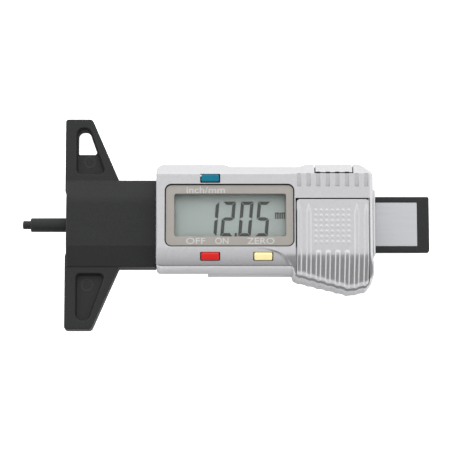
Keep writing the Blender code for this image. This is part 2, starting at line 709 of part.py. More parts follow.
def make_display():
    """Panel, clear window, LCD, its holder and the contact strip to the board."""
    frame = panel("display_frame", FRAME_MIN, FRAME_MAX, 0.0, 1.6, 13.3 * MM, 14.5 * MM)
    cut(frame, panel("window_opening", WINDOW_MIN, WINDOW_MAX, 0.0, 0.6, 12 * MM, 16 * MM))
    keep(frame, TAN_PANEL)
    lens = box("display_window", (-15.2 * MM, -5.5 * MM, 12.5 * MM), (17.6 * MM, 8.1 * MM, 13.0 * MM))
    keep(lens, CLEAR_PANEL)
    glass = box("lcd_glass", (-14.9 * MM, -5.5 * MM, 10.4 * MM), (17.3 * MM, 7.9 * MM, 12.2 * MM))
    keep(glass, LCD_GREY)
    holder = box("lcd_holder", (-16.2 * MM, -6.4 * MM, 7.6 * MM), (18.6 * MM, 8.85 * MM, 12.2 * MM))
    cut(holder, box("holder_opening", (-15.2 * MM, -5.8 * MM, 6 * MM), (17.6 * MM, 8.2 * MM, 14 * MM)))
    keep(holder, DARK_PLASTIC)
    strip = box("zebra_connector", (-13.5 * MM, 5.9 * MM, 7.6 * MM), (15.9 * MM, 7.7 * MM, 10.1 * MM))
    keep(strip, RUBBER)


def make_electronics():
    board = box("circuit_board", (-14.9 * MM, -10.0 * MM, BOARD_LOW_Z), (36.1 * MM, 11.3 * MM, BOARD_HIGH_Z))
    keep(board, BOARD_GREEN)
    chip = box("controller_chip", (-3.0 * MM, -3.2 * MM, 7.6 * MM), (3.4 * MM, 3.2 * MM, 8.9 * MM), 0.4 * MM)
    keep(chip, DARK_PLASTIC)
    x, y = CELL_CENTRE
    cell = cylinder("battery_cell", CELL_RADIUS, (x, y, 8.0 * MM), (x, y, 13.4 * MM), 32)
    bevel = cell.modifiers.new("rounding", "BEVEL")
    bevel.width = 0.4 * MM
    bevel.segments = 1
    keep(cell, STEEL)
    under = box("battery_contact_negative", (x - 4.0 * MM, y - 1.5 * MM, 7.55 * MM),
                (x + 4.0 * MM, y + 1.5 * MM, 7.75 * MM))
    keep(under, BRASS)
    side = box("battery_contact_positive", (x - 6.5 * MM, y - 2.5 * MM, 7.6 * MM),
               (x - 6.2 * MM, y + 2.5 * MM, 12.6 * MM))
    foot = box("contact_foot", (x - 8.2 * MM, y - 1.5 * MM, 7.6 * MM),
               (x - 6.3 * MM, y + 1.5 * MM, 7.9 * MM))
    join(side, foot)
    keep(side, BRASS)
    socket = box("port_connector", (26.2 * MM, 8.9 * MM, 7.6 * MM), (34.3 * MM, 12.7 * MM, 10.2 * MM))
    for index in range(4):
        left = 27.1 * MM + index * 1.8 * MM
        bay = box(f"port_bay_{index}", (left, 11.0 * MM, 8.6 * MM), (left + 1.0 * MM, 13.5 * MM, 9.6 * MM))
        cut(socket, bay)
    keep(socket, DARK_PLASTIC)


def main():
    form = hide(make_casing_form())
    make_front_cover(form)
    make_back_cover(form)
    make_depth_base()
    make_battery_cover()
    make_port_cover(form)
    make_button("inch_mm", INCH_BUTTON_AT, 0.0, BLUE_BUTTON, 6.4 * MM, -1.5 * MM)
    make_button("power", POWER_BUTTON_AT, BUTTON_TILT, RED_BUTTON, 6.05 * MM, 0.0)
    make_button("zero", ZERO_BUTTON_AT, BUTTON_TILT, YELLOW_BUTTON, 6.05 * MM, 0.0)
    make_dome("inch_mm_dome", INCH_BUTTON_AT[0], 10.15 * MM)
    make_dome("power_dome", POWER_BUTTON_AT[0], -7.75 * MM)
    make_dome("zero_dome", ZERO_BUTTON_AT[0], -7.75 * MM)
    make_beam()
    make_scale()
    make_depth_rod()
    make_guide_frame()
    make_guide_spring()
    make_display()
    make_electronics()
    for index, (x, y) in enumerate(CASE_SCREWS):
        make_screw(f"case_screw_{index + 1}", x, y, 0.0)
    for index, (x, y) in enumerate(BASE_SCREWS):
        make_screw(f"base_screw_{index + 1}", x, y, NECK_LOW_Z)


main()
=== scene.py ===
"""Looks of the tyre tread depth gauge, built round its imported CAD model.

Lengths in the shape functions are millimetres; meshes are written in metres. The axes are
the model's: +X along the beam, +Y across it, +Z out of the display.
"""

import math

import bmesh
import bpy
import numpy as np
from mathutils import Matrix, Vector


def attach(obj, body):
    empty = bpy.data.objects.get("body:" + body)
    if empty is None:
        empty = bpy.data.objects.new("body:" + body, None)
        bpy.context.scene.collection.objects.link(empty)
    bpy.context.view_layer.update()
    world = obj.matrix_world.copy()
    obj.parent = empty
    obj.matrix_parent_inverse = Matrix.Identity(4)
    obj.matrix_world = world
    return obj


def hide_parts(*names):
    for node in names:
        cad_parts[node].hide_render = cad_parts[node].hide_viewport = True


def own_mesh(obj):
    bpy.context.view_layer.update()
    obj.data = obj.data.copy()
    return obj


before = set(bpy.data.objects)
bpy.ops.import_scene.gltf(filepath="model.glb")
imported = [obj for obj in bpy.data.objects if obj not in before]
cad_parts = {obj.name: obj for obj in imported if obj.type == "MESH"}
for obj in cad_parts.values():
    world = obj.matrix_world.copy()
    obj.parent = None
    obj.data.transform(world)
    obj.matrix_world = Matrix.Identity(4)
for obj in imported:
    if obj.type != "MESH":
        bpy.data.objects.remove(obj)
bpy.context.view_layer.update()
MM = 0.001
MITRE_LIMIT = 0.4

# Casing
FACE_Z = 15.0
SPLIT_LOW_Z = 3.9
SPLIT_HIGH_Z = 4.2
CREASE_TOP_Y = 12.95
CREASE_LOW_Y = -7.9
BEVEL_LOW_Z = 12.6
BEVEL_SLOPE = 0.24
BEVEL_CURVE = 0.030
SCOOP_Y = -9.6
SCOOP_SLOPE = math.tan(math.radians(31))
SCOOP_SOFT = 0.6
COVER_BEND_Y = SCOOP_Y + 0.45
LEAN_LEFT = 0.099
LEAN_THUMB = 0.081
LEAN_CHANGE_X = (18.0, 20.0)
LEAN_START_Y = (-11.0, -13.0)
COVER_LEFT_X = 19.75
COVER_RIGHT_X = 39.95
COVER_TOP_Y = 5.8
COVER_THICKNESS = 1.3
GAP = 0.3
RIB_X = [20.45 + 2.68 * index for index in range(8)]
RIB_HALF = 0.80
RIB_SOFT = 0.34
RIB_HEIGHT = 0.3
RIB_NOSE_Y = (-8.4, -9.5)
RIB_POINT_Y = 1.8
FLUTE_HALF = 0.85
FLUTE_SOFT = 0.7
FLUTE_DEPTH = 0.2
FLUTE_STEP = 0.2
FLUTE_START_Y = (-15.2, -16.2)
SHOULDER_X = (17.5, 21.5)
SHOULDER_RISE = 0.12
SLOT_HALF = 0.57
BAR_RISE = 0.22
BAR_END_Y = 14.2
DOTS_A_SIDE = 7
DOT_CENTRE = (29.69, -1.9)
DOT_PITCH = (1.534, 1.486)
DOT_RADIUS = 0.6
DOT_HEIGHT = 0.14
EDGE_RADIUS = 0.2
BEAM_WAY_HALF = 8.2
NOSE_LOW_Y = -9.3
NOSE_HIGH_Y = 9.9
NOSE_TOP_Z = 8.7
ABOVE_Z = 17.0
SCREW_HEAD_RADIUS = 1.95
SCREW_SHANK_RADIUS = 1.15
CASE_SCREWS = [(1.0, -12.1), (1.0, 13.3), (38.3, -12.6), (38.4, 13.2)]
OUTLINE = [
    (-19.5, -14.4, 1.0), (18.6, -14.4, 0.4), (18.9, -15.9, 1.0), (34.8, -19.85, 3.0), (39.7, -18.8, 2.6),
    (41.7, -15.9, 2.4), (41.2, -11.5, 3.0), (41.2, 13.6, 3.0), (37.9, 16.15, 3.0), (22.2, 16.15, 1.5),
    (20.6, 15.4, 1.5), (1.4, 15.4, 1.5), (-0.6, 16.15, 1.5), (-19.5, 16.15, 2.2)]
RIDGE = [(4.0, -7.8), (10.8, -7.8, 6.0), (15.6, -9.4, 5.0), (19.6, -15.0), (21.0, -18.0)]
RIDGE_HALF = 0.26
RIDGE_HEIGHT = 0.11

# Buttons and their domes
LEFT_BUTTON_X = -4.38
RIGHT_BUTTON_X = 10.43
BUTTON_TILT = math.radians(24)
DOME_LOW_Z = 7.6
DOMES = [("inch_mm", LEFT_BUTTON_X, 10.15), ("power", LEFT_BUTTON_X, -7.75), ("zero", RIGHT_BUTTON_X, -7.75)]

# Display
LCD_Z = 12.2
PANEL_Z = 14.5
DIGIT_LOW_Y = -4.38
DIGIT_HEIGHT = 9.85
DIGIT_WIDTH = 3.54
SEGMENT = 0.9
SEGMENT_GAP = 0.10
SLANT = math.tan(math.radians(5))
DIGITS = [(-6.2, "bc"), (-1.58, "abged"), (3.4, "abcdef"), (8.15, "afgcd")]
POINT = [(2.42, 0.0), (3.05, 0.0), (3.05, 0.95), (2.42, 0.95)]
INK_LOW_Z = LCD_Z + 0.06
INK_HIGH_Z = LCD_Z + 0.10
UNIT_LEFT_X = 13.75
UNIT_PITCH = 1.5
UNIT_LEGS = [0.0, 0.5, 1.0]
UNIT_LEG_WIDTH = 0.28
LEGEND_Z = PANEL_Z - 0.01
LEGEND_DEPTH = 0.04
LEGEND_BOLD = 0.01
LEGENDS = [
    ("inch_mm_legend", "inch/mm", (-11.0, 7.45), (-0.25, 9.4)),
    ("off_legend", "OFF", (-11.1, -6.85), (-5.7, -5.1)),
    ("on_legend", "ON", (-3.0, -6.85), (0.75, -5.1)),
    ("zero_legend", "ZERO", (5.9, -6.85), (13.55, -5.1))]

# Base, rod and beam
TIP_X = -57.5
FACE_X = -45.45
BEAM_LEFT_X = -24.2
BEAM_RIGHT_X = 57.5
BEAM_AXIS_Z = 4.2
POCKET_Z = 5.6
POCKET_INNER_Y = 14.4
POCKET_RIGHT_X = -34.2
HOLE_INNER_Y = 19.8
HOLE_RIGHT_X = -36.13
BASE_SCREW_X = -16.9
BASE_SCREW_Y = 10.9

# Camera
CAMERA_DISTANCE = 0.650
CAMERA_TILT = math.radians(8.4)
CAMERA_LENS = 182.6
CAMERA_AIM_Z = 0.0042
CAMERA_SHIFT = (0.0003, -0.002)

# Materials
SMOOTH_ANGLE = math.radians(32)
NOISE_LOW = 0.3
NOISE_HIGH = 0.7
GRAIN_DEPTH = 0.05
LACQUER_GREEN = (0.02, 0.17, 0.06)
COPPER_RED = (0.72, 0.40, 0.20)

# Light: sky brightness by angle from overhead, in degrees towards the front
SKY = [
    (-180, 1.1), (-100, 1.3), (-75, 1.45), (-45, 1.5), (-24, 1.02), (0, 0.89), (20, 0.91), (38, 0.74),
    (52, 0.20), (75, 0.08), (90, 0.25), (180, 0.5)]
SKY_COOLNESS = 1.01
SKY_STRENGTH = 1.18
FLANK_COLOUR = (1.3, 1.3, 1.31, 1)
FLANK_SPAN = (0.3, 0.75)
FLOOR_GLOW = 0.12
FLOOR_REACH = 20000.0
KEY_WIDTH = math.radians(48)
KEY_TILT = math.radians(48)
KEY_STRENGTH = 2.2


# ---------------------------------------------------------------- camera

def make_camera():
    data = bpy.data.cameras.new("camera")
    data.sensor_width = 36.0
    data.lens = CAMERA_LENS
    data.shift_x, data.shift_y = CAMERA_SHIFT
    data.clip_start = 0.01
    data.clip_end = 50.0
    camera = bpy.data.objects.new("camera", data)
    camera.location = (0.0, -CAMERA_DISTANCE * math.sin(CAMERA_TILT),
                       CAMERA_AIM_Z + CAMERA_DISTANCE * math.cos(CAMERA_TILT))
    camera.rotation_euler = (CAMERA_TILT, 0.0, 0.0)
    bpy.context.scene.collection.objects.link(camera)
    bpy.context.scene.camera = camera


make_camera()


# ---------------------------------------------------------------- mesh helpers

def link(name, mesh):
    item = bpy.data.objects.new(name, mesh)
    bpy.context.scene.collection.objects.link(item)
    return item


def from_edit(name, edit):
    """Object from a bmesh drawn in millimetres."""
    bmesh.ops.scale(edit, vec=(MM, MM, MM), verts=edit.verts)
    mesh = bpy.data.meshes.new(name)
    edit.to_mesh(mesh)
    edit.free()
    return link(name, mesh)


def fillet(before, corner, after, radius, steps):
    """Points of the arc that rounds a corner between its two neighbours."""
    back = (Vector(before) - Vector(corner)).normalized()
    ahead = (Vector(after) - Vector(corner)).normalized()
    half = back.angle(ahead) / 2
    run = radius / math.tan(half)
    centre = Vector(corner) + (back + ahead).normalized() * (radius / math.sin(half))
    first = Vector(corner) + back * run - centre
    sweep = first.angle_signed(Vector(corner) + ahead * run - centre)
    return [tuple(centre + Matrix.Rotation(-sweep * step / steps, 2) @ first) for step in range(steps + 1)]


def rounded(corners, closed=True, steps=10):
    """Outline from corners; a corner's third number is its radius."""
    points = []
    for index, corner in enumerate(corners):
        if len(corner) == 2 or (not closed and index in (0, len(corners) - 1)):
            points.append(tuple(corner[:2]))
            continue
        before = corners[index - 1][:2]
        after = corners[(index + 1) % len(corners)][:2]
        points += fillet(before, corner[:2], after, corner[2], steps)
    return points


def inset(outline, distance):
    """Outline moved inwards by a distance, for an outline that runs anticlockwise."""
    points = np.array(outline, float)
    ahead = np.roll(points, -1, 0) - points
    ahead /= np.linalg.norm(ahead, axis=1)[:, None]
    inward = np.stack([-ahead[:, 1], ahead[:, 0]], 1)
    both = inward + np.roll(inward, 1, 0)
    both /= np.maximum((both * inward).sum(1), MITRE_LIMIT)[:, None]
    return points + both * distance


def loft(name, outline, levels, plane="XY"):
    """Closed stack of inset copies of an outline; levels hold (height, inset) pairs."""
    area = sum(a[0] * b[1] - b[0] * a[1] for a, b in zip(outline, outline[1:] + outline[:1]))
    if area < 0:
        outline = outline[::-1]
    edit = bmesh.new()
    rings = []
    for height, distance in levels:
        ring = inset(outline, distance)
        if plane == "XY":
            rings.append([edit.verts.new((x, y, height)) for x, y in ring])
        else:
            rings.append([edit.verts.new((height, x, y)) for x, y in ring])
    count = len(outline)
    for low, high in zip(rings, rings[1:]):
        for index in range(count):
            after = (index + 1) % count
            edit.faces.new((low[index], low[after], high[after], high[index]))
    edit.faces.new(rings[0][::-1])
    edit.faces.new(rings[-1])
    bmesh.ops.recalc_face_normals(edit, faces=edit.faces)
    return from_edit(name, edit)


def box(name, low, high):
    corners = [(low[0], low[1]), (high[0], low[1]), (high[0], high[1]), (low[0], high[1])]
    return loft(name, corners, [(low[2], 0.0), (high[2], 0.0)])


def plate(name, low, high, corner, edge=0.0):
    """Rectangular plate with round corners and rounded edges between two 3-D corners."""
    outline = rounded([(low[0], low[1], corner), (high[0], low[1], corner),
                       (high[0], high[1], corner), (low[0], high[1], corner)])
    return loft(name, outline, soft_levels(low[2], high[2], edge))


def soft_levels(low, high, edge, both=True):
    """Levels for a loft whose upper, and lower, rims are quarter rounds."""
    if not edge:
        return [(low, 0.0), (high, 0.0)]
    turn = [math.radians(angle) for angle in (0, 18, 36, 54, 72, 90)]
    top = [(high - edge + edge * math.sin(a), edge - edge * math.cos(a)) for a in turn]
    if not both:
        return [(low, 0.0)] + top
    base = [(low + edge - edge * math.sin(a), edge - edge * math.cos(a)) for a in reversed(turn)]
    return base + top


def turned(name, profile, sides, place, along_x=False):
    """Solid of revolution about Z, or X, from (radius, height) pairs."""
    edit = bmesh.new()
    rings = []
    for radius, height in profile:
        if radius == 0.0:
            rings.append([edit.verts.new((0.0, 0.0, height))])
            continue
        angles = [2 * math.pi * step / sides for step in range(sides)]
        rings.append([edit.verts.new((radius * math.cos(a), radius * math.sin(a), height)) for a in angles])
    for low, high in zip(rings, rings[1:]):
        for step in range(sides):
            after = (step + 1) % sides
            corners = [low[step % len(low)], low[after % len(low)], high[after % len(high)],
                       high[step % len(high)]]
            edit.faces.new(list(dict.fromkeys(corners)))
    bmesh.ops.recalc_face_normals(edit, faces=edit.faces)
    if along_x:
        bmesh.ops.rotate(edit, verts=edit.verts, cent=(0, 0, 0), matrix=Matrix.Rotation(math.pi / 2, 3, "Y"))
    bmesh.ops.translate(edit, verts=edit.verts, vec=place)
    return from_edit(name, edit)


def relief(name, x_grid, y_grid, top, under):
    """Solid with a sculpted top over a grid; top and under hold heights for each point."""
    columns = x_grid.shape[1]
    rows = x_grid.shape[0]
    upper = np.stack([x_grid, y_grid, top], -1).reshape(-1, 3)
    lower = np.stack([x_grid, y_grid, under], -1).reshape(-1, 3)
    index = np.arange(rows * columns).reshape(rows, columns)
    cells = np.stack([index[:-1, :-1], index[:-1, 1:], index[1:, 1:], index[1:, :-1]], -1).reshape(-1, 4)
    rim = np.concatenate([index[0, :], index[1:, -1], index[-1, -2::-1], index[-2:0:-1, 0]])
    after = np.roll(rim, -1)
    shift = rows * columns
    walls = np.stack([rim + shift, after + shift, after, rim], -1)
    faces = np.concatenate([cells, cells[:, ::-1] + shift, walls])
    mesh = bpy.data.meshes.new(name)
    mesh.from_pydata((np.concatenate([upper, lower]) * MM).tolist(), [], faces.tolist())
    mesh.update()
    return link(name, mesh)


def carve(item, tools, operation="DIFFERENCE"):
    """Cut, add or intersect tools with an item, then drop the tools."""
    for tool in tools:
        step = item.modifiers.new(tool.name, "BOOLEAN")
        step.operation = operation
        step.object = tool
        step.solver = "EXACT"
    apply_modifiers(item)
    for tool in tools:
        bpy.data.objects.remove(tool, do_unlink=True)


def apply_modifiers(item):
    graph = bpy.context.evaluated_depsgraph_get()
    mesh = bpy.data.meshes.new_from_object(item.evaluated_get(graph))
    item.modifiers.clear()
    item.data = mesh


def merge(item, *others):
    """Put other meshes into one object without changing their shapes."""
    edit = bmesh.new()
    for part in (item, *others):
        part.data.transform(part.matrix_world)
        part.matrix_world = Matrix.Identity(4)
        edit.from_mesh(part.data)
    edit.to_mesh(item.data)
    edit.free()
    for part in others:
        bpy.data.objects.remove(part, do_unlink=True)
    return item


def shade(item):
    for polygon in item.data.polygons:
        polygon.use_smooth = True
    item.data.set_sharp_from_angle(angle=SMOOTH_ANGLE)


def finish(item, body, material, slot, *nodes):
    """Give a piece its material and body, and hide the CAD nodes it stands for; the slot is not used."""
    shade(item)
    item.data.materials.clear()
    item.data.materials.append(material)
    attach(item, body)
    if nodes:
        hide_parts(*nodes)


# ---------------------------------------------------------------- materials

def node(tree, kind, **values):
    item = tree.nodes.new(kind)
    for key, value in values.items():
        setattr(item, key, value)
    return item


def surface(name, colour, roughness, metallic=0.0, tone=0.05, tone_scale=400.0, spread=0.06,
            grain_scale=6000.0, grain=0.05, edge=0.12, edge_highlight=0.0, stretch=(1.0, 1.0, 1.0), coat=0.0,
            sheen=0.5):
    """Moulded or painted surface: mottled colour, uneven gloss, fine grain and soft edges."""
    material = bpy.data.materials.new(name)
    material.use_nodes = True
    tree = material.node_tree
    shader = tree.nodes["Principled BSDF"]
    shader.inputs["Metallic"].default_value = metallic
    shader.inputs["Coat Weight"].default_value = coat
    shader.inputs["Specular IOR Level"].default_value = sheen
    place = node(tree, "ShaderNodeTexCoord")
    scale = node(tree, "ShaderNodeMapping")
    scale.inputs["Scale"].default_value = stretch
    tree.links.new(place.outputs["Object"], scale.inputs["Vector"])
    broad = node(tree, "ShaderNodeTexNoise")
    broad.inputs["Scale"].default_value = tone_scale
    broad.inputs["Detail"].default_value = 4.0
    fine = node(tree, "ShaderNodeTexNoise")
    fine.inputs["Scale"].default_value = grain_scale
    fine.inputs["Detail"].default_value = 2.0
    for noise in (broad, fine):
        tree.links.new(scale.outputs["Vector"], noise.inputs["Vector"])
    colours = node(tree, "ShaderNodeValToRGB")
    colours.color_ramp.elements[0].position = NOISE_LOW
    colours.color_ramp.elements[1].position = NOISE_HIGH
    colours.color_ramp.elements[0].color = (*[c * (1 - tone) for c in colour], 1.0)
    colours.color_ramp.elements[1].color = (*[min(c * (1 + tone), 1.0) for c in colour], 1.0)
    tree.links.new(broad.outputs["Fac"], colours.inputs["Fac"])
    gloss = node(tree, "ShaderNodeMapRange")
    gloss.inputs["From Min"].default_value = NOISE_LOW
    gloss.inputs["From Max"].default_value = NOISE_HIGH
    gloss.inputs["To Min"].default_value = max(roughness - spread, 0.02)
    gloss.inputs["To Max"].default_value = roughness + spread
    tree.links.new(fine.outputs["Fac"], gloss.inputs["Value"])
    tree.links.new(gloss.outputs["Result"], shader.inputs["Roughness"])
    soften = node(tree, "ShaderNodeBevel", samples=4)
    soften.inputs["Radius"].default_value = edge * MM
    bump = node(tree, "ShaderNodeBump")
    bump.inputs["Strength"].default_value = grain
    bump.inputs["Distance"].default_value = GRAIN_DEPTH * MM
    tree.links.new(fine.outputs["Fac"], bump.inputs["Height"])
    tree.links.new(soften.outputs["Normal"], bump.inputs["Normal"])
    tree.links.new(bump.outputs["Normal"], shader.inputs["Normal"])
    # A nonzero value paints a highlight along the edges as a paler colour.
    if edge_highlight:
        painted_edge_highlight(tree, shader, colours, soften, colour, edge_highlight)
    else:
        tree.links.new(colours.outputs["Color"], shader.inputs["Base Color"])
    return material


def painted_edge_highlight(tree, shader, colours, soften, colour, edge_highlight):
    """Painted highlight: paler colour where the softened normal leaves the true one, along the edges."""
    shape = node(tree, "ShaderNodeNewGeometry")
    dot = node(tree, "ShaderNodeVectorMath", operation="DOT_PRODUCT")
    tree.links.new(shape.outputs["Normal"], dot.inputs[0])
    tree.links.new(soften.outputs["Normal"], dot.inputs[1])
    mask = node(tree, "ShaderNodeMapRange")
    mask.inputs["From Min"].default_value = 0.995
    mask.inputs["From Max"].default_value = 0.85
    mask.inputs["To Max"].default_value = 0.8
    tree.links.new(dot.outputs["Value"], mask.inputs["Value"])
    mix = node(tree, "ShaderNodeMix", data_type="RGBA")
    mix.inputs["B"].default_value = (*[c + edge_highlight for c in colour], 1.0)
    tree.links.new(mask.outputs["Result"], mix.inputs["Factor"])
    tree.links.new(colours.outputs["Color"], mix.inputs["A"])
    tree.links.new(mix.outputs["Result"], shader.inputs["Base Color"])


def board_material():
    """Green lacquer with straight tracks under it."""
    material = surface("board_lacquer", LACQUER_GREEN, 0.35, tone=0.1, tone_scale=900.0, coat=0.3)
    tree = material.node_tree
    shader = tree.nodes["Principled BSDF"]
    bands = node(tree, "ShaderNodeTexBrick")
    bands.inputs["Scale"].default_value = 260.0
    bands.inputs["Mortar Size"].default_value = 0.03
    bands.inputs["Color1"].default_value = (0.015, 0.13, 0.045, 1)
    bands.inputs["Color2"].default_value = (*LACQUER_GREEN, 1)
    bands.inputs["Mortar"].default_value = (0.10, 0.30, 0.12, 1)
    place = node(tree, "ShaderNodeTexCoord")
    tree.links.new(place.outputs["Object"], bands.inputs["Vector"])
    tree.links.new(bands.outputs["Color"], shader.inputs["Base Color"])
    return material


def clear_material():
    """Clear moulded window with a faint even haze."""
    material = surface("window_clear", (0.5, 0.52, 0.51), 0.08, tone=0.02, spread=0.02, grain=0.01,
                       sheen=0.3)
    shader = material.node_tree.nodes["Principled BSDF"]
    shader.inputs["Alpha"].default_value = 0.02
    return material


def track_material():
    """Copper with an etched row of bars across it."""
    material = surface("etched_copper", COPPER_RED, 0.3, metallic=1.0, grain=0.03)
    tree = material.node_tree
    shader = tree.nodes["Principled BSDF"]
    wave = node(tree, "ShaderNodeTexWave", wave_type="BANDS", bands_direction="X")
    wave.inputs["Scale"].default_value = 160.0
    ramp = node(tree, "ShaderNodeValToRGB")
    ramp.color_ramp.interpolation = "CONSTANT"
    ramp.color_ramp.elements[0].color = (0.03, 0.05, 0.03, 1)
    ramp.color_ramp.elements[1].color = (*COPPER_RED, 1)
    ramp.color_ramp.elements[1].position = 0.4
    place = node(tree, "ShaderNodeTexCoord")
    tree.links.new(place.outputs["Object"], wave.inputs["Vector"])
    tree.links.new(wave.outputs["Fac"], ramp.inputs["Fac"])
    tree.links.new(ramp.outputs["Color"], shader.inputs["Base Color"])
    return material


SILVER = surface("silver_satin", (0.50, 0.50, 0.508), 0.31, metallic=0.9, tone=0.035, tone_scale=1500.0,
                 spread=0.05, grain_scale=9000.0, grain=0.06, edge=0.09)
# The black plastic's paler edges are a painted highlight.
BLACK = surface("black_grained", (0.0145, 0.0149, 0.0153), 0.55, sheen=0.2, tone=0.16, tone_scale=2500.0,
                spread=0.08, grain_scale=5200.0, grain=0.35, edge=0.22, edge_highlight=0.03)
DARK = surface("dark_moulded", (0.06, 0.06, 0.065), 0.55, tone=0.1, grain=0.15)
TAN = surface("panel_satin", (0.228, 0.212, 0.192), 0.42, tone=0.03, grain=0.04, edge=0.12)
CLEAR = clear_material()
LCD = surface("lcd_field", (0.212, 0.245, 0.230), 0.30, tone=0.02, tone_scale=150.0, spread=0.03, grain=0.01)
INK = surface("lcd_segment", (0.012, 0.016, 0.014), 0.35, tone=0.05, grain=0.01, edge=0.02)
PRINT = surface("panel_print", (0.36, 0.36, 0.345), 0.4, tone=0.03, grain=0.02, edge=0.02)
FOIL = surface("label_foil", (0.375, 0.38, 0.395), 0.42, metallic=0.35, tone=0.03, tone_scale=900.0,
               grain_scale=4000.0, grain=0.08, edge=0.05, stretch=(0.08, 1.0, 1.0))
BOARD = board_material()
COPPER = track_material()
STEEL = surface("turned_steel", (0.42, 0.42, 0.415), 0.30, metallic=1.0, tone=0.05, grain_scale=3000.0,
                grain=0.1, stretch=(1.0, 1.0, 0.1))
BRASS = surface("sprung_brass", (0.76, 0.58, 0.27), 0.3, metallic=1.0, tone=0.06, grain=0.06)
RUBBER = surface("soft_rubber", (0.11, 0.11, 0.11), 0.8, tone=0.1, grain=0.25)
BLUE = surface("blue_moulded", (0.002, 0.11, 0.165), 0.35, sheen=0.15, tone=0.05, grain=0.05, edge=0.1)
RED = surface("red_moulded", (0.53, 0.016, 0.014), 0.35, sheen=0.15, tone=0.05, grain=0.05, edge=0.1)
YELLOW = surface("yellow_moulded", (0.76, 0.66, 0.33), 0.35, sheen=0.2, tone=0.03, grain=0.05, edge=0.1)


# ---------------------------------------------------------------- casing surfaces

def smooth(low, high, value):
    """Smooth step from 0 at low to 1 at high."""
    share = np.clip((value - low) / (high - low), 0.0, 1.0)
    return share * share * (3 - 2 * share)


def soft_positive(value, width):
    """The larger of a value and 0, blended over a width."""
    return (value + np.sqrt(value * value + width * width)) / 2


def soft_min(a, b, width):
    """The smaller of two values, blended over a width."""
    return b - soft_positive(b - a, width)


def line_distance(points, x, y, closed=False):
    """Signed distance to a line of points: positive on the left of its direction."""
    points = np.array(points, float)
    ends = np.roll(points, -1, 0) if closed else points[1:]
    best = np.full(x.shape, 1e9)
    side = np.ones(x.shape)
    for (ax, ay), (bx, by) in zip(points, ends):
        run = (bx - ax, by - ay)
        length = run[0] ** 2 + run[1] ** 2
        if length < 1e-12:
            continue
        share = np.clip(((x - ax) * run[0] + (y - ay) * run[1]) / length, 0, 1)
        gap = np.hypot(x - ax - share * run[0], y - ay - share * run[1])
        nearer = gap < best
        best = np.where(nearer, gap, best)
        cross = run[0] * (y - ay) - run[1] * (x - ax)
        side = np.where(nearer, np.where(cross >= 0, 1.0, -1.0), side)
    return best * side


def roll(distance, radius):
    """Drop of a quarter round at a distance inside an edge."""
    inside = np.clip(radius - distance, 0, radius)
    return radius - np.sqrt(np.maximum(radius * radius - inside * inside, 0))


def rib_lift(x, half, soft):
    """Cross-section of the raised ribs, from 0 between them to 1 along their tops."""
    lift = np.zeros_like(x)
    for centre in RIB_X:
        lift = np.maximum(lift, 1 - smooth(half - soft, half, np.abs(x - centre)))
    return lift


def scoop_height(y):
    """Height of the thumb rest, which slopes down from the face."""
    return FACE_Z - SCOOP_SLOPE * soft_positive(SCOOP_Y - y, SCOOP_SOFT)


def lean(x, y, z):
    """How far the leaning lower wall has moved in at a height."""
    slope = LEAN_LEFT + (LEAN_THUMB - LEAN_LEFT) * smooth(*LEAN_CHANGE_X, x)
    return slope * z * smooth(*LEAN_START_Y, y)


def wavy_outline():
    """Outline of the casing, its thumb rest fluted where the ribs run over the edge."""
    points = []
    corners = rounded(OUTLINE)
    for start, end in zip(corners, corners[1:] + corners[:1]):
        fluted = start[1] < -15.0 and start[0] > 19.0
        steps = max(int(math.dist(start, end) / FLUTE_STEP), 1) if fluted else 1
        for step in range(steps):
            share = step / steps
            points.append((start[0] + (end[0] - start[0]) * share, start[1] + (end[1] - start[1]) * share))
    points = np.array(points)
    flutes = rib_lift(points[:, 0], FLUTE_HALF, FLUTE_SOFT)
    points[:, 1] -= FLUTE_DEPTH * flutes * smooth(*FLUTE_START_Y, points[:, 1])
    return [tuple(point) for point in points]


def leaning_plan(name, levels):
    """Casing outline lofted through (height, inset) levels, leaning in along the lower wall."""
    item = loft(name, wavy_outline(), levels)
    for vertex in item.data.vertices:
        x, y, z = vertex.co / MM
        vertex.co.y += float(lean(x, y, z)) * MM
    return item


def rear_height(x, y):
    """Face and upper bevel, with the short bars that run over the crease beyond the slots."""
    shoulder = SHOULDER_RISE * smooth(*SHOULDER_X, x)
    ramp = SHOULDER_RISE * smooth(8.6, 12.9, y) * smooth(*SHOULDER_X, x)
    top = soft_min(FACE_Z + ramp, FACE_Z - (y - CREASE_TOP_Y) + shoulder, 0.06)
    for centre in RIB_X:
        reach = np.hypot(x - centre, np.maximum(y - BAR_END_Y, 0) + np.maximum(CREASE_TOP_Y - y, 0) * 3)
        top = top + BAR_RISE * (1 - smooth(0.34, 0.66, reach)) * smooth(12.7, 13.1, y)
    return top


def front_height(x, y, ridge):
    """Curved lower bevel, which meets the thumb rest along the ridge."""
    run = soft_positive(CREASE_LOW_Y - y, 0.25)
    lower = FACE_Z - BEVEL_SLOPE * run - BEVEL_CURVE * run * run
    return lower + (scoop_height(y) - lower) * smooth(-0.25, 0.25, -ridge)


def rim_roll(x, y):
    """Drop of the rounded rim, which is wider along the right end and round the thumb rest."""
    outline = np.array(rounded(OUTLINE))
    rim_z = np.where(outline[:, 0] < 18.8, BEVEL_LOW_Z, scoop_height(outline[:, 1]) - 0.5)
    outline[:, 1] += lean(outline[:, 0], outline[:, 1], rim_z)
    rim = line_distance(outline, x, y, closed=True)
    radius = 0.45 + 0.85 * smooth(37.5, 40.0, x) * smooth(-13.0, -9.0, y) + 0.35 * smooth(-12.0, -15.0, y)
    return roll(rim, radius)


def casing_height(x, y):
    """Height of the casing's upper surface."""
    ridge = -line_distance(rounded(RIDGE, closed=False), x, y)
    bead = np.exp(-(ridge / RIDGE_HALF) ** 2) * smooth(7.0, 11.0, x) * RIDGE_HEIGHT
    return np.minimum(rear_height(x, y), front_height(x, y, ridge)) + bead - rim_roll(x, y)


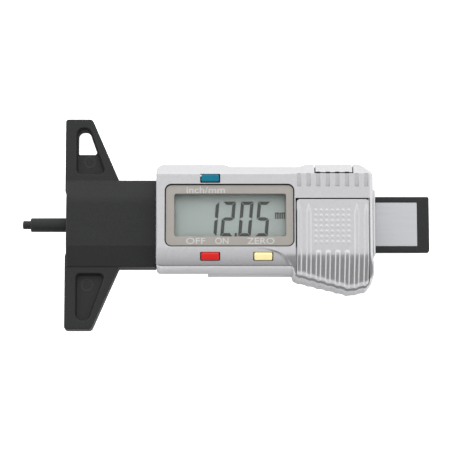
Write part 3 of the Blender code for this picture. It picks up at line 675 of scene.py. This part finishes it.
def lines(*spans):
    """Grid lines from (start, end, spacing) spans."""
    values = []
    for start, end, spacing in spans:
        count = max(int(round((end - start) / spacing)), 1)
        values += list(np.linspace(start, end, count, endpoint=False))
    return np.array(values + [spans[-1][1]])


def cavity_tools():
    """Hollow of the casing."""
    section = [(-12.7, 1.5), (14.6, 1.5), (14.6, 11.4), (12.3, 13.5), (-7.4, 13.5), (-11.6, 11.6),
               (-12.7, 10.5)]
    main = loft("hollow_main", section, [(-18.1, 0.0), (39.8, 0.0)], "YZ")
    plan = [(20.4, -12.5), (20.4, -14.2), (34.8, -17.4), (37.6, -17.2), (39.5, -15.0), (39.5, -12.5)]
    thumb = loft("hollow_thumb", plan, [(1.5, 0.0), (6.9, 0.0)])
    return [main, thumb]


def cover_opening():
    """Opening for the battery cover, cut through to beyond the casing's lower edge."""
    under = FACE_Z - COVER_THICKNESS - GAP
    beyond = -23.0
    section = [(COVER_TOP_Y + GAP, under), (COVER_TOP_Y + GAP, ABOVE_Z), (beyond, ABOVE_Z),
               (beyond, under - (COVER_BEND_Y - beyond) * SCOOP_SLOPE), (COVER_BEND_Y, under)]
    return loft("cover_opening", section, [(COVER_LEFT_X - GAP, 0.0), (COVER_RIGHT_X + GAP, 0.0)], "YZ")


def button_place(place, tilt):
    return Matrix.Translation([value * MM for value in place]) @ Matrix.Rotation(tilt, 4, "X")


def button_cutter(name, place, tilt):
    tool = plate(name, (-2.8, -1.3, -4.0), (2.8, 1.24, 2.0), 0.3)
    tool.matrix_world = button_place(place, tilt)
    bpy.context.view_layer.update()
    return tool


# Place, tilt, material, slot, and the stem's Y and lower end measured from the place
BUTTONS = {
    "inch_mm_button": ((LEFT_BUTTON_X, 11.65, FACE_Z), 0.0, BLUE, "blue_button", -1.5, -6.3),
    "power_button": ((LEFT_BUTTON_X, -10.3, 14.3), BUTTON_TILT, RED, "red_button", 0.0, -5.9),
    "zero_button": ((RIGHT_BUTTON_X, -10.3, 14.3), BUTTON_TILT, YELLOW, "yellow_button", 0.0, -5.9),
}


def screw_well(name, x, y, mouth, seat_z, top_z):
    """Cutter for a screw put in from below: a mouth, the head up to its seat, then the shank."""
    profile = mouth + [(SCREW_HEAD_RADIUS, seat_z), (SCREW_SHANK_RADIUS, seat_z), (SCREW_SHANK_RADIUS, top_z),
                       (0.0, top_z)]
    return turned(name, profile, 32, (x, y, 0.0))


def slot_cutter(name, centre):
    section = [(9.35, 16.5), (13.0, 16.5), (13.0, 14.95), (9.35, 13.95)]
    return loft(name, section, [(centre - SLOT_HALF, 0.0), (centre + SLOT_HALF, 0.0)], "YZ")


def make_front_cover():
    x_lines = lines((-20.2, 5.0, 0.35), (5.0, 19.3, 0.2), (19.3, 43.2, 0.16))
    y_lines = lines((-21.0, -16.0, 0.3), (-16.0, -7.0, 0.16), (-7.0, 12.0, 0.6), (12.0, 16.8, 0.12))
    x, y = np.meshgrid(x_lines, y_lines)
    cover = relief("front_cover_skin", x, y, casing_height(x, y), np.full(x.shape, SPLIT_HIGH_Z))
    carve(cover, [leaning_plan("plan", [(2.0, 0.0), (ABOVE_Z, 0.0)])], "INTERSECT")
    tools = cavity_tools() + [cover_opening()]
    tools.append(plate("display_opening", (-17.1, -7.6, 12.0), (19.15, 10.1, ABOVE_Z), 1.9))
    tools.append(box("port_opening", (24.8, 13.1, 6.7), (35.7, 18.0, 16.0)))
    for name, values in BUTTONS.items():
        tools.append(button_cutter(name + "_slot", *values[:2]))
    for index, centre in enumerate(RIB_X):
        tools.append(slot_cutter(f"slot_{index}", centre))
    tools.append(box("beam_way", (-21.0, -BEAM_WAY_HALF, 0.0), (-17.0, BEAM_WAY_HALF, 6.3)))
    tools.append(box("nose_way", (39.0, NOSE_LOW_Y, 0.0), (43.0, NOSE_HIGH_Y, NOSE_TOP_Z)))
    carve(cover, tools)
    finish(cover, "casing", SILVER, "silver_paint", "front_cover")


def make_back_cover():
    rounded_base = soft_levels(0.0, SPLIT_LOW_Z, 0.35)[:6]
    levels = rounded_base + [(SPLIT_LOW_Z, 0.0)]
    cover = leaning_plan("back_cover_shell", levels)
    left = box("left_end", (-25.0, -25.0, -1.0), (-5.1, 25.0, 5.0))
    tools = [left] + cavity_tools()
    tools.append(box("beam_way", (-8.0, -BEAM_WAY_HALF, 2.1), (-3.0, BEAM_WAY_HALF, 6.0)))
    tools.append(box("nose_way", (39.0, NOSE_LOW_Y, -1.0), (43.0, NOSE_HIGH_Y, NOSE_TOP_Z)))
    chamfered = [(0.0, -1.0), (2.15, -1.0), (2.15, 0.0), (SCREW_HEAD_RADIUS, 0.2)]
    for index, (x, y) in enumerate(CASE_SCREWS):
        tools.append(screw_well(f"screw_well_{index}", x, y, chamfered, 1.5, 5.0))
    carve(cover, tools)
    finish(cover, "casing", SILVER, "silver_paint", "back_cover")


def make_port_cover():
    x, y = np.meshgrid(lines((25.1, 35.4, 0.1)), lines((13.4, 16.9, 0.07)))
    y = y + 0.14 * rib_lift(x, RIB_HALF, RIB_SOFT) * smooth(14.6, 13.4, y)
    top = casing_height(x, y) + 0.2 - roll(y - 13.3, EDGE_RADIUS)
    cover = relief("port_cover_skin", x, y, top, np.full(x.shape, 7.0))
    carve(cover, [leaning_plan("plan", [(2.0, 0.0), (ABOVE_Z, 0.0)])], "INTERSECT")
    finish(cover, "port_cover", SILVER, "silver_paint", "port_cover")


def cover_edge_y(x):
    """Y of the battery cover's lower edge, just inside the casing's leaning wall."""
    outline = np.array(wavy_outline())
    low = outline[(outline[:, 1] < -14.5) & (outline[:, 0] > 18.0)]
    low = low[np.argsort(low[:, 0])]
    edge = np.interp(x, low[:, 0], low[:, 1])
    return edge + lean(x, edge, scoop_height(edge)) + 0.4


def add_ribs(x, y, top):
    """Raise the ribs: pointed at the outer columns, starting at the thumb rest in the middle."""
    ribs = np.array(RIB_X)
    left, right = (ribs[1] + ribs[2]) / 2, (ribs[5] + ribs[6]) / 2
    middle = (x > left) & (x < right)
    nearest = ribs[np.argmin(np.abs(x[..., None] - ribs), -1)]
    point = np.abs(x - nearest) + np.where(middle, 0.0, np.maximum(y - RIB_POINT_Y, 0) * 0.25)
    nose = np.where(middle, smooth(*RIB_NOSE_Y, y), 1.0)
    return top + RIB_HEIGHT * nose * (1 - smooth(RIB_HALF - 0.40, RIB_HALF, point))


def add_dots(x, y, top):
    """Raise the square of round grip dots."""
    middle = (DOTS_A_SIDE - 1) // 2
    for row in range(DOTS_A_SIDE):
        for column in range(DOTS_A_SIDE):
            centre_x = DOT_CENTRE[0] + (column - middle) * DOT_PITCH[0]
            centre_y = DOT_CENTRE[1] + (row - middle) * DOT_PITCH[1]
            distance = np.hypot(x - centre_x, y - centre_y) / DOT_RADIUS
            top = top + DOT_HEIGHT * np.cos(np.minimum(distance, 1) * math.pi / 2) ** 1.5
    return top


def make_battery_cover():
    """Ribbed and dotted cover, flat over the face and sloping down the thumb rest."""
    corner = 1.0
    border = 0.4
    x_lines = lines((COVER_LEFT_X, COVER_LEFT_X + border, 0.05),
                    (COVER_LEFT_X + border, COVER_RIGHT_X - border, 0.1),
                    (COVER_RIGHT_X - border, COVER_RIGHT_X, 0.05))
    share = lines((0.0, 0.02, 0.002), (0.02, 0.9, 0.0056), (0.9, 1.0, 0.0025))
    side = np.minimum(x_lines - COVER_LEFT_X, COVER_RIGHT_X - x_lines)
    start = COVER_TOP_Y - roll(side, corner)
    end = cover_edge_y(x_lines)
    x, part = np.meshgrid(x_lines, share)
    y = start + (end - start) * part
    lip = scoop_height(end) + 0.5
    top = -soft_min(-scoop_height(y), -lip, 0.15)
    top = add_dots(x, y, add_ribs(x, y, top))
    edge = np.minimum(np.minimum(side, start - y), np.maximum(y - end, 0))
    top = top - roll(edge, EDGE_RADIUS)
    under = FACE_Z - COVER_THICKNESS - SCOOP_SLOPE * np.maximum(COVER_BEND_Y - y, 0)
    cover = relief("battery_cover_skin", x, y, top, under)
    finish(cover, "battery_cover", SILVER, "silver_paint", "battery_cover")


# ---------------------------------------------------------------- buttons and display

def make_button(name, place, tilt, material, slot, stem_y, stem_low):
    crown = soft_levels(-2.6, 0.45, 0.35, both=False)
    outline = rounded([(-2.5, -1.05, 0.4), (2.5, -1.05, 0.4), (2.5, 1.05, 0.4), (-2.5, 1.05, 0.4)])
    cap = loft(name + "_cap", outline, crown)
    flange = plate(name + "_flange", (-3.2, -0.95, -2.75), (3.2, 0.95, -2.15), 0.3, 0.1)
    stem = plate(name + "_stem", (-1.2, stem_y - 0.7, stem_low), (1.2, stem_y + 0.7, -2.3), 0.2, 0.1)
    merge(cap, flange, stem)
    cap.data.transform(button_place(place, tilt))
    finish(cap, name, material, slot, name)


def make_dome(name, x, y):
    """Spring dome under a button stem."""
    profile = [(0.0, DOME_LOW_Z), (1.1, DOME_LOW_Z), (1.05, 7.75), (0.85, 7.95), (0.5, 8.06), (0.0, 8.1)]
    dome = turned(name + "_dome_shell", profile, 32, (x, y, 0.0))
    finish(dome, "casing", STEEL, "steel", name + "_dome")
    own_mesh(dome)


def segments(shape):
    """Outlines of one digit's lit segments, from its lower left corner."""
    w, h, t, g = DIGIT_WIDTH, DIGIT_HEIGHT, SEGMENT, SEGMENT_GAP
    m = h / 2
    parts = {
        "a": [(g, h), (t + g, h - t), (w - t - g, h - t), (w - g, h)],
        "d": [(g, 0), (w - g, 0), (w - t - g, t), (t + g, t)],
        "f": [(0, h - g), (0, m + g), (t, m + t / 2 + g), (t, h - t - g)],
        "b": [(w, h - g), (w - t, h - t - g), (w - t, m + t / 2 + g), (w, m + g)],
        "e": [(0, g), (t, t + g), (t, m - t / 2 - g), (0, m - g)],
        "c": [(w, g), (w, m - g), (w - t, m - t / 2 - g), (w - t, t + g)],
        "g": [(g * 1.5, m), (t + g, m - t / 2), (w - t - g, m - t / 2), (w - g * 1.5, m),
              (w - t - g, m + t / 2), (t + g, m + t / 2)],
    }
    return [parts[letter] for letter in shape]


def make_digits():
    """The lit segments of the reading, 12.05."""
    pieces = []
    outlines = []
    for left, shape in DIGITS:
        for outline in segments(shape):
            outlines.append([(left + x, y) for x, y in outline])
    outlines.append(POINT)
    for index, outline in enumerate(outlines):
        slanted = [(x + SLANT * y, DIGIT_LOW_Y + y) for x, y in outline]
        pieces.append(loft(f"segment_{index}", slanted, [(INK_LOW_Z, 0.0), (INK_HIGH_Z, 0.0)]))
    reading = merge(*pieces)
    reading.name = "lcd_reading"
    finish(reading, "casing", INK, "lcd_grey")


def make_unit_mark():
    """The millimetre sign beside the reading: two letters of three legs each."""
    pieces = []
    for letter in range(2):
        left = UNIT_LEFT_X + UNIT_PITCH * letter
        for leg in UNIT_LEGS:
            start = left + leg
            pieces.append(box("leg", (start, 0.57, INK_LOW_Z), (start + UNIT_LEG_WIDTH, 2.1, INK_HIGH_Z)))
        right = left + UNIT_LEGS[-1] + UNIT_LEG_WIDTH
        pieces.append(box("bar", (left, 2.08, INK_LOW_Z), (right, 2.36, INK_HIGH_Z)))
    sign = merge(*pieces)
    sign.name = "unit_mark"
    finish(sign, "casing", INK, "lcd_grey")


def lettering(name, text, low, high):
    """Generic lettering stretched to fill a rectangle."""
    curve = bpy.data.curves.new(name, "FONT")
    curve.body = text
    curve.extrude = 0.02
    curve.offset = LEGEND_BOLD
    holder = link(name + "_outline", curve)
    graph = bpy.context.evaluated_depsgraph_get()
    mesh = bpy.data.meshes.new_from_object(holder.evaluated_get(graph))
    bpy.data.objects.remove(holder, do_unlink=True)
    points = np.array([vertex.co for vertex in mesh.vertices])
    start = points.min(0)
    span = points.max(0) - start
    points = (points - start) / span
    points[:, 0] = low[0] + points[:, 0] * (high[0] - low[0])
    points[:, 1] = low[1] + points[:, 1] * (high[1] - low[1])
    points[:, 2] = LEGEND_Z + points[:, 2] * LEGEND_DEPTH
    mesh.vertices.foreach_set("co", (points * MM).ravel())
    mesh.update()
    finish(link(name, mesh), "casing", PRINT, "tan_panel")


def make_display():
    panel = plate("display_panel", (-16.8, -7.3, 13.3), (18.85, 9.8, PANEL_Z), 1.6, 0.12)
    opening = rounded([(-14.4, -4.7, 0.6), (16.8, -4.7, 0.6), (16.8, 7.3, 0.6), (-14.4, 7.3, 0.6)])
    levels = [(12.0, 0.0), (PANEL_Z - 0.12, 0.0), (PANEL_Z + 0.1, -0.22)]
    carve(panel, [loft("window_opening", opening, levels)])
    finish(panel, "casing", TAN, "tan_panel", "display_frame")
    field = plate("lcd_sheet", (-14.9, -5.5, 10.4), (17.3, 7.9, LCD_Z), 0.3, 0.1)
    finish(field, "casing", LCD, "lcd_grey", "lcd_glass")
    lens = plate("display_lens", (-15.2, -5.5, 12.5), (17.6, 8.1, 13.0), 0.4, 0.08)
    finish(lens, "casing", CLEAR, "clear_panel", "display_window")
    make_digits()
    make_unit_mark()
    for legend in LEGENDS:
        lettering(*legend)


# ---------------------------------------------------------------- base, rod and beam

def wing_recess(inner_y, right, radius):
    """Plan of a recess in the upper wing, with its inner corners rounded by a radius."""
    return rounded([(-42.1, inner_y, radius), (-42.1, 27.2, 1.75), (-38.75, 27.2, 1.5),
                    (right, inner_y, radius)])


def make_pocket(name, side):
    outline = [(x, y * side) for x, y in wing_recess(POCKET_INNER_Y, POCKET_RIGHT_X, 1.0)]
    levels = [(POCKET_Z, 0.3), (POCKET_Z + 0.3, 0.1), (6.5, 0.0), (6.9, -0.15), (7.35, -0.6)]
    return loft(name, outline, levels)


def make_base():
    wings = rounded([
        (FACE_X, -30.0, 0.8), (FACE_X + 7.6, -30.0, 1.2), (-30.2, -12.45, 0.8), (-30.2, 12.45, 0.8),
        (FACE_X + 7.6, 30.0, 1.2), (FACE_X, 30.0, 0.8), (FACE_X, 9.4, 1.0), (FACE_X + 0.38, 8.0, 1.0),
        (FACE_X + 0.38, -8.0, 1.0), (FACE_X, -9.4, 1.0)])
    base = loft("base_body", wings, soft_levels(1.2, 7.2, 0.4))
    section = rounded([
        (-12.45, 0.6, 0.5), (12.45, 0.6, 0.5), (12.45, 7.3, 1.2), (6.6, 9.4, 9.0), (-6.6, 9.4, 1.2),
        (-12.45, 7.4, 0.6)], steps=14)
    neck = loft("neck", section, [(FACE_X + 0.42, 0.25), (FACE_X + 0.67, 0.0), (-19.8, 0.0)], "YZ")
    tongue = box("tongue", (-21.5, -12.15, 0.6), (-5.4, 12.15, 3.9))
    carve(base, [neck, tongue], "UNION")
    tools = [make_pocket("upper_pocket", 1), make_pocket("lower_pocket", -1)]
    hole = wing_recess(HOLE_INNER_Y, HOLE_RIGHT_X, 0.8)
    tools.append(loft("hang_hole", hole, [(-1.0, 0.15), (POCKET_Z + 0.5, 0.15)]))
    tools.append(box("beam_way", (-38.6, -8.15, 2.35), (0.0, 8.15, 6.05)))
    tools.append(turned("rod_way", [(0.0, -6.0), (2.5, -6.0), (2.25, -5.2), (2.25, 12.0), (0.0, 12.0)], 48,
                        (FACE_X + 5.4, 0.0, BEAM_AXIS_Z), along_x=True))
    mouth = [(0.0, -1.0), (SCREW_HEAD_RADIUS, -1.0)]
    for index, y in enumerate((-BASE_SCREW_Y, BASE_SCREW_Y)):
        tools.append(screw_well(f"screw_well_{index}", BASE_SCREW_X, y, mouth, 2.1, 9.0))
    carve(base, tools)
    marks = []
    for index, (x, y, radius) in enumerate(((-38.56, 17.7, 1.5), (-39.15, -17.4, 1.6))):
        ring = [(radius - 0.2, -0.05), (radius - 0.1, 0.08), (radius + 0.1, 0.08), (radius + 0.2, -0.05)]
        marks.append(turned(f"mark_{index}", ring + ring[:1], 40, (x, y, POCKET_Z)))
    merge(base, *marks)
    finish(base, "casing", BLACK, "black_plastic", "depth_base")


def make_rod():
    """Round rod with a thin tip at one end and a spigot into the beam at the other."""
    profile = [(0.0, 0.0), (1.0, 0.0), (1.2, 0.2), (1.2, 2.25), (1.8, 2.25), (2.0, 2.45), (2.0, 33.0),
               (0.9, 33.0), (0.9, 36.5), (0.0, 36.5)]
    rod = turned("rod_bar", profile, 64, (TIP_X, 0.0, BEAM_AXIS_Z), along_x=True)
    finish(rod, "beam", BLACK, "black_plastic", "depth_rod")


def make_beam():
    """Flat bar with a shallow recess for its label and a bore for the rod's spigot."""
    outline = rounded([(BEAM_LEFT_X, -7.9, 0.3), (BEAM_RIGHT_X, -7.9, 0.5), (BEAM_RIGHT_X, 7.9, 0.5),
                       (BEAM_LEFT_X, 7.9, 0.3)])
    beam = loft("beam_bar", outline, soft_levels(2.6, 5.8, 0.3))
    recess = rounded([(-20.3, -6.3, 0.2), (54.15, -6.3, 0.2), (54.15, 6.3, 0.2), (-20.3, 6.3, 0.2)])
    tools = [loft("recess", recess, [(4.7, 0.0), (5.72, 0.0), (5.9, -0.15)])]
    tools.append(turned("spigot_bore", [(0.0, -1.0), (1.1, -1.0), (1.1, 3.6), (0.0, 3.6)], 32,
                        (BEAM_LEFT_X, 0.0, BEAM_AXIS_Z - 0.3), along_x=True))
    carve(beam, tools)
    finish(beam, "beam", BLACK, "black_plastic", "beam")
    label = plate("scale_foil", (-20.0, -6.22, 5.5), (54.07, 6.22, 5.7), 0.25, 0.05)
    finish(label, "beam", FOIL, "label_silver", "scale_label")


# ---------------------------------------------------------------- carried-over CAD nodes

def paint_nodes():
    """Materials of the CAD pieces that keep their own meshes."""
    finishes = {
        "guide_frame": SILVER, "guide_spring": BRASS, "scale_track": COPPER, "lcd_holder": DARK,
        "zebra_connector": RUBBER, "circuit_board": BOARD, "controller_chip": DARK, "battery_cell": STEEL,
        "battery_contact_negative": BRASS, "battery_contact_positive": BRASS, "port_connector": DARK,
    }
    screws = [f"case_screw_{number}" for number in (1, 2, 3, 4)] + ["base_screw_1", "base_screw_2"]
    finishes.update(dict.fromkeys(screws, STEEL))
    for name, material in finishes.items():
        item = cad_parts[name]
        item.data.materials.clear()
        item.data.materials.append(material)


# ---------------------------------------------------------------- studio

def make_floor():
    """White floor that glows for the camera and only faintly for other rays."""
    floor = box("studio_floor", (-FLOOR_REACH, -FLOOR_REACH, -1.0), (FLOOR_REACH, FLOOR_REACH, -0.01))
    material = bpy.data.materials.new("studio_white")
    material.use_nodes = True
    tree = material.node_tree
    shader = tree.nodes["Principled BSDF"]
    shader.inputs["Base Color"].default_value = (0.8, 0.8, 0.8, 1)
    shader.inputs["Roughness"].default_value = 0.9
    shader.inputs["Emission Color"].default_value = (1, 1, 1, 1)
    ray = node(tree, "ShaderNodeLightPath")
    glow = node(tree, "ShaderNodeMapRange")
    glow.inputs["To Min"].default_value = FLOOR_GLOW
    glow.inputs["To Max"].default_value = 1.0
    tree.links.new(ray.outputs["Is Camera Ray"], glow.inputs["Value"])
    tree.links.new(glow.outputs["Result"], shader.inputs["Emission Strength"])
    floor.data.materials.append(material)


def make_world():
    """Soft overhead light, brighter behind the gauge and dim low in front of it."""
    world = bpy.data.worlds.new("studio")
    bpy.context.scene.world = world
    world.use_nodes = True
    tree = world.node_tree
    place = node(tree, "ShaderNodeTexCoord")
    parts = node(tree, "ShaderNodeSeparateXYZ")
    tree.links.new(place.outputs["Generated"], parts.inputs["Vector"])
    front = node(tree, "ShaderNodeMath", operation="MULTIPLY")
    front.inputs[1].default_value = -1.0
    tree.links.new(parts.outputs["Y"], front.inputs[0])
    angle = node(tree, "ShaderNodeMath", operation="ARCTAN2")
    tree.links.new(front.outputs["Value"], angle.inputs[0])
    tree.links.new(parts.outputs["Z"], angle.inputs[1])
    share = node(tree, "ShaderNodeMapRange")
    share.inputs["From Min"].default_value = -math.pi
    share.inputs["From Max"].default_value = math.pi
    tree.links.new(angle.outputs["Value"], share.inputs["Value"])
    ramp = node(tree, "ShaderNodeValToRGB")
    elements = ramp.color_ramp.elements
    while len(elements) < len(SKY):
        elements.new(0.5)
    for element, (degrees, level) in zip(elements, SKY):
        element.position = (degrees + 180) / 360
        element.color = (level, level, level * SKY_COOLNESS, 1)
    tree.links.new(share.outputs["Result"], ramp.inputs["Fac"])
    across = node(tree, "ShaderNodeMath", operation="ABSOLUTE")
    tree.links.new(parts.outputs["X"], across.inputs[0])
    sides = node(tree, "ShaderNodeMapRange", interpolation_type="SMOOTHSTEP")
    sides.inputs["From Min"].default_value = FLANK_SPAN[0]
    sides.inputs["From Max"].default_value = FLANK_SPAN[1]
    tree.links.new(across.outputs["Value"], sides.inputs["Value"])
    flanks = node(tree, "ShaderNodeMix", data_type="RGBA")
    flanks.inputs["B"].default_value = FLANK_COLOUR
    tree.links.new(sides.outputs["Result"], flanks.inputs["Factor"])
    tree.links.new(ramp.outputs["Color"], flanks.inputs["A"])
    ray = node(tree, "ShaderNodeLightPath")
    mix = node(tree, "ShaderNodeMix", data_type="RGBA")
    mix.inputs["B"].default_value = (1, 1, 1, 1)
    tree.links.new(ray.outputs["Is Camera Ray"], mix.inputs["Factor"])
    tree.links.new(flanks.outputs["Result"], mix.inputs["A"])
    background = tree.nodes["Background"]
    background.inputs["Strength"].default_value = SKY_STRENGTH
    tree.links.new(mix.outputs["Result"], background.inputs["Color"])


def make_key_light():
    data = bpy.data.lights.new("key_light", "SUN")
    data.energy = KEY_STRENGTH
    data.angle = KEY_WIDTH
    lamp = bpy.data.objects.new("key_light", data)
    lamp.rotation_euler = (-KEY_TILT, 0.0, 0.0)
    lamp.visible_glossy = False
    bpy.context.scene.collection.objects.link(lamp)


def make_studio():
    make_floor()
    make_world()
    make_key_light()
    bpy.context.scene.view_settings.view_transform = "Standard"


def main():
    make_front_cover()
    make_back_cover()
    make_port_cover()
    make_battery_cover()
    for name, values in BUTTONS.items():
        make_button(name, *values)
    make_display()
    make_base()
    make_rod()
    make_beam()
    for name, x, y in DOMES:
        make_dome(name, x, y)
    paint_nodes()
    make_studio()


main()
